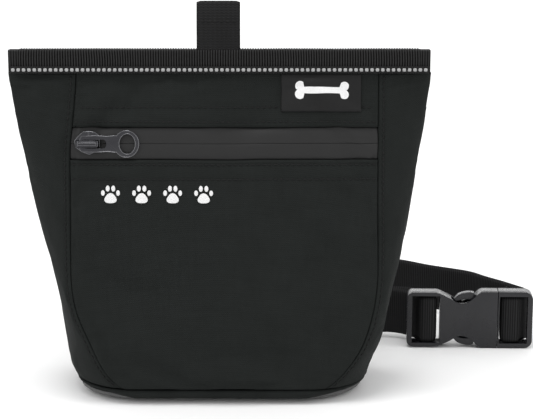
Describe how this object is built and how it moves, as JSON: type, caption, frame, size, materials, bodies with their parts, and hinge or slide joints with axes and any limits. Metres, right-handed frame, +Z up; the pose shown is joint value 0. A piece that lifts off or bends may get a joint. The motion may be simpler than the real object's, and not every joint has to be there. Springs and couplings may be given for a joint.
{
  "type": "treat pouch",
  "caption": "Waist-worn fabric treat pouch with a straight closing mouth, a zip pocket on the front, a pull tab, and a webbing belt with a side-release buckle.",
  "frame": {"origin": "on the floor under the middle of the pouch's base", "axes": "+X to the right along the mouth and towards the buckle as seen from the front, +Y to the back (the wearer's side), +Z up"},
  "size_m": [0.2553, 0.1548, 0.188],
  "materials": {
    "fabric": "fine black ripstop, matt",
    "lining": "smooth black lining",
    "binding": "ribbed black grosgrain",
    "webbing": "woven black webbing",
    "tape": "smooth coated zip tape",
    "label": "dense woven patch",
    "reflective": "pale reflective thread",
    "buckle_plastic": "satin moulded plastic",
    "slider_metal": "gunmetal enamel",
    "steel": "bright steel",
    "board": "plain sheet"
  },
  "bodies": {
    "pouch": {"rear_panel": "fabric", "base_panel": "fabric", "base_board": "board", "left_gusset": "fabric", "right_gusset": "fabric", "rear_binding": "binding", "rear_stiffener": "steel", "rear_magnet_left": "steel", "rear_magnet_right": "steel", "left_belt_loop": "webbing", "right_belt_loop": "webbing", "belt_webbing": "webbing", "buckle_socket": "buckle_plastic"},
    "front_wall": {"pocket_panel": "fabric", "front_yoke": "fabric", "pocket_back": "lining", "zip_tape_lower": "tape", "zip_tape_upper": "tape", "front_binding": "binding", "front_stiffener": "steel", "front_magnet_left": "steel", "front_magnet_right": "steel", "reflective_stitch": "reflective", "label_patch": "label"},
    "zip_slider": {"slider_body": "slider_metal", "slider_bridge": "slider_metal"},
    "zip_pull": {"zip_pull": "slider_metal"},
    "pull_tab": {"pull_tab": "webbing"},
    "buckle_plug": {"buckle_plug": "buckle_plastic"},
    "latch_arm_upper": {"latch_arm_upper": "buckle_plastic"},
    "latch_arm_lower": {"latch_arm_lower": "buckle_plastic"}
  },
  "joints": [
    {"name": "mouth_open", "type": "hinge", "parent": "pouch", "child": "front_wall", "pos_m": [0, -0.0295, 0.0065], "axis": [1, 0, 0], "range_deg": [0, 20]},
    {"name": "zip_slide", "type": "slide", "parent": "front_wall", "child": "zip_slider", "axis": [1, 0, 0], "range_m": [0, 0.124]},
    {"name": "pull_lift", "type": "hinge", "parent": "zip_slider", "child": "zip_pull", "pos_m": [-0.0641, -0.01185, 0.12279], "axis": [0, -0.1736, -0.9848], "range_deg": [0, 150]},
    {"name": "tab_bend", "type": "hinge", "parent": "front_wall", "child": "pull_tab", "pos_m": [-0.0004, -0.0026, 0.1678], "axis": [1, 0, 0], "range_deg": [-70, 70], "stiffness_Nm_per_rad": 0.002},
    {"name": "buckle_release", "type": "slide", "parent": "pouch", "child": "buckle_plug", "axis": [0.9996, -0.0279, 0], "range_m": [0, 0.028], "deforming": ["belt_webbing", "latch_arm_upper", "latch_arm_lower"]},
    {"name": "latch_squeeze_upper", "type": "hinge", "parent": "buckle_plug", "child": "latch_arm_upper", "pos_m": [0.1375, 0.05586, 0.0247], "axis": [-0.0279, -0.9996, 0], "range_deg": [0, 6], "stiffness_Nm_per_rad": 0.05},
    {"name": "latch_squeeze_lower", "type": "hinge", "parent": "buckle_plug", "child": "latch_arm_lower", "pos_m": [0.1375, 0.05586, 0.0051], "axis": [0.0279, 0.9996, 0], "range_deg": [0, 6], "stiffness_Nm_per_rad": 0.05}
  ],
  "couplings": [
    {"joint": "latch_squeeze_lower", "follows": "latch_squeeze_upper", "ratio": 1}
  ]
}
